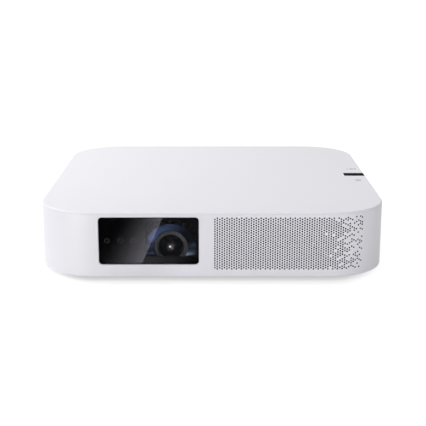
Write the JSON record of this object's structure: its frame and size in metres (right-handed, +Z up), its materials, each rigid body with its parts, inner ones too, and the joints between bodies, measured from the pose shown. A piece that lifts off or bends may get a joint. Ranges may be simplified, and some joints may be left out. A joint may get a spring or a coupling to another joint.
{
  "type": "home projector",
  "caption": "Flat square home projector with rounded corners, front glass over a focusing lens, perforated speaker grille, top control strip, rear sockets, blower and LED light engine.",
  "frame": {"origin": "on the table below the middle of the body", "axes": "+X to the right seen from the front, +Y to the back, +Z up; the lens looks along -Y"},
  "size_m": [0.201, 0.201, 0.04],
  "materials": {
    "shell_silver": "fine matte, silver white",
    "base_grey": "matte grey",
    "rubber_black": "matte",
    "steel": "bright",
    "brass": "turned",
    "gloss_black": "gloss",
    "glass_clear": "polished",
    "satin_black": "satin",
    "cloth_black": "woven",
    "black_metal": "black anodised",
    "lens_glass": "coated, polished",
    "coated_glass": "dichroic coating",
    "gear_plastic": "matte",
    "cast_metal": "cast",
    "aluminium": "plain",
    "copper": "plain",
    "board_green": "solder mask",
    "flex_amber": "satin film",
    "magnet_black": "plain",
    "cone_black": "pressed paper"
  },
  "bodies": {
    "housing": {"audio_jack": "satin_black", "base_cover": "base_grey", "base_screws": "steel", "board_chips": "satin_black", "collimator_lenses": "lens_glass", "control_strip": "gloss_black", "dc_jack": "satin_black", "dichroic_plates": "coated_glass", "engine_cover": "cast_metal", "engine_heatsinks": "aluminium", "engine_tray": "cast_metal", "fan_bearing": "brass", "fan_cover": "satin_black", "fan_housing": "satin_black", "fan_stator": "copper", "fin_stack": "aluminium", "focus_motor": "steel", "front_fascia": "shell_silver", "front_glass": "glass_clear", "glass_mask": "gloss_black", "grille_cloth": "cloth_black", "hdmi_ports": "steel", "heat_pipes": "copper", "heat_spreader": "copper", "imager_board": "board_green", "imager_flex": "flex_amber", "io_panel": "satin_black", "key_board": "board_green", "led_boards": "copper", "lens_hood": "satin_black", "lens_mount": "black_metal", "main_board": "board_green", "power_board": "board_green", "prism_pair": "lens_glass", "rear_housing": "shell_silver", "relay_optics": "lens_glass", "ring_clip": "steel", "rocker_pin": "steel", "rubber_feet": "rubber_black", "sensor_board": "board_green", "speaker_baskets": "steel", "speaker_box": "satin_black", "speaker_magnets": "magnet_black", "top_cover": "shell_silver", "tripod_insert": "brass", "usb_ports": "steel"},
    "focus_ring": {"focus_ring": "gear_plastic"},
    "focus_pinion": {"focus_pinion": "brass"},
    "lens_carriage": {"lens_barrel": "black_metal", "lens_retainer": "satin_black", "cam_pins": "steel", "front_lens": "lens_glass", "inner_lenses": "lens_glass"},
    "impeller": {"fan_impeller": "satin_black", "fan_shaft": "steel"},
    "power_key": {"power_button": "shell_silver"},
    "volume_key": {"volume_rocker": "shell_silver"},
    "left_cone": {"left_cone": "cone_black"},
    "right_cone": {"right_cone": "cone_black"}
  },
  "joints": [
    {"name": "focus_turn", "type": "hinge", "parent": "housing", "child": "focus_ring", "pos_m": [-0.0236, -0.058, 0.0182], "axis": [0, 1, 0], "range_deg": [-30, 30]},
    {"name": "pinion_turn", "type": "hinge", "parent": "housing", "child": "focus_pinion", "pos_m": [-0.01229, -0.058, 0.02951], "axis": [0, 1, 0], "range_deg": [-142, 142]},
    {"name": "lens_travel", "type": "slide", "parent": "housing", "child": "lens_carriage", "axis": [0, 1, 0], "range_m": [-0.00075, 0.00075]},
    {"name": "fan_spin", "type": "hinge", "parent": "housing", "child": "impeller", "pos_m": [0.05, 0.026, 0.012], "axis": [0, 0, 1], "continuous": true},
    {"name": "power_press", "type": "slide", "parent": "housing", "child": "power_key", "axis": [-1, 0, 0], "range_m": [0, 0.0006], "stiffness_N_per_m": 300},
    {"name": "volume_rock", "type": "hinge", "parent": "housing", "child": "volume_key", "pos_m": [0.0964, 0.019, 0.024], "axis": [0, 0, 1], "range_deg": [-3, 3], "stiffness_Nm_per_rad": 0.06},
    {"name": "left_stroke", "type": "slide", "parent": "housing", "child": "left_cone", "axis": [0, 1, 0], "range_m": [-0.0008, 0.0008], "stiffness_N_per_m": 1500},
    {"name": "right_stroke", "type": "slide", "parent": "housing", "child": "right_cone", "axis": [0, 1, 0], "range_m": [-0.0008, 0.0008], "stiffness_N_per_m": 1500}
  ],
  "couplings": [
    {"joint": "focus_turn", "follows": "lens_travel", "rad_per_m": 698.13},
    {"joint": "pinion_turn", "follows": "lens_travel", "rad_per_m": -3291.2}
  ]
}
